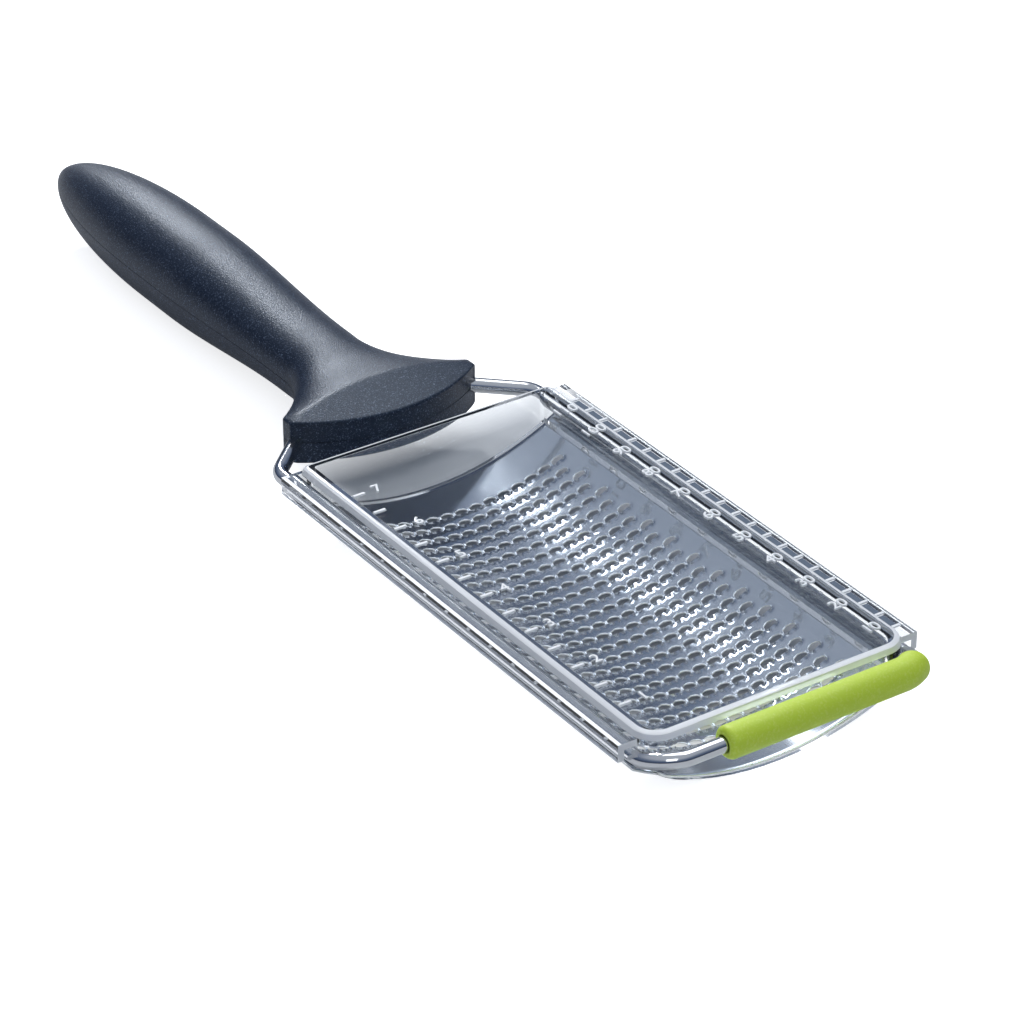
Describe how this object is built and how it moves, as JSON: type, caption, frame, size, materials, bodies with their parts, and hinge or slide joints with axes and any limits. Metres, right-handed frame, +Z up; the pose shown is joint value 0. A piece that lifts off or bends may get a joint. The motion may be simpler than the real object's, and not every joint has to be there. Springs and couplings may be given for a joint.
{
  "type": "fine grater",
  "caption": "Handheld fine grater: arched toothed steel plate on a bent wire frame, moulded handle, soft end sleeve and a clear lift-off measuring catch tray.",
  "frame": {"origin": "under the middle of the whole grater, on the surface it rests on", "axes": "+Y from the crossbar towards the handle's end, +Z up from the convex toothed side towards the tray's floor"},
  "size_m": [0.0776, 0.3132, 0.025],
  "materials": {
    "handle": "satin, fine grain",
    "wire": "polished stainless",
    "plate": "bright stainless sheet",
    "sleeve": "matt silicone",
    "tray": "clear, glossy"
  },
  "bodies": {
    "grater": {"handle_upper_shell": "handle", "handle_lower_shell": "handle", "wire_frame": "wire", "grating_plate": "plate", "end_sleeve": "sleeve"},
    "tray": {"catch_tray": "tray"}
  },
  "joints": [
    {"name": "tray_lift", "type": "slide", "parent": "grater", "child": "tray", "axis": [0, 0, 1], "range_m": [0, 0.06]}
  ]
}
